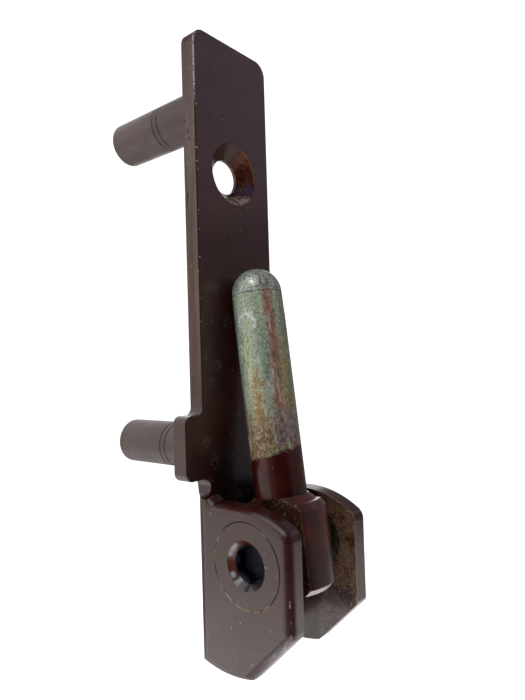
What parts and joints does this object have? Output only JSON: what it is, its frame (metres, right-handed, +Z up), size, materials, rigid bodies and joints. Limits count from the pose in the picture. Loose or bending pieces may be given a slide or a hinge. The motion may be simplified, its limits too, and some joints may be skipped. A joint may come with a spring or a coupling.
{
  "type": "window corner hinge",
  "caption": "Frame-side corner hinge for a window: folded steel plate with pegs on its back, forked ears, adjusting spindle and a tilting bearing pin.",
  "frame": {"origin": "on the plate's flat back face, on its centre line, level with the axis of the adjusting spindle", "axes": "+Y out of the back face into the window frame, +Z up along the plate, +X to the right seen from the front"},
  "size_m": [0.0241, 0.0462, 0.1032],
  "materials": {
    "brown_paint": "glossy dark chocolate-brown enamel",
    "brown_paint_knuckle": "glossy dark red-brown enamel",
    "brown_paint_peg": "glossy grey-brown enamel",
    "zinc_pin": "worn zinc plating with drawn-out streaks, brown enamel round the foot",
    "spindle_paint": "glossy brown enamel over steel",
    "bush_steel": "dull turned steel"
  },
  "bodies": {
    "frame_plate": {"bracket": "brown_paint", "upper_peg": "brown_paint_peg", "lower_peg": "brown_paint_peg", "end_bush": "bush_steel"},
    "spindle": {"adjusting_spindle": "spindle_paint"},
    "carriage": {"threaded_bush": "bush_steel"},
    "knuckle_and_pin": {"knuckle": "brown_paint_knuckle", "bearing_pin": "zinc_pin"}
  },
  "joints": [
    {"name": "spindle_turn", "type": "hinge", "parent": "frame_plate", "child": "spindle", "pos_m": [0, -0.0112, 0], "axis": [1, 0, 0], "range_deg": [-540, 540]},
    {"name": "side_shift", "type": "slide", "parent": "frame_plate", "child": "carriage", "axis": [1, 0, 0], "range_m": [-0.0015, 0.0015]},
    {"name": "pin_tilt", "type": "hinge", "parent": "carriage", "child": "knuckle_and_pin", "pos_m": [0, -0.0112, 0], "axis": [1, 0, 0], "range_deg": [0, 60]}
  ],
  "couplings": [
    {"joint": "spindle_turn", "follows": "side_shift", "rad_per_m": -6283.2}
  ]
}
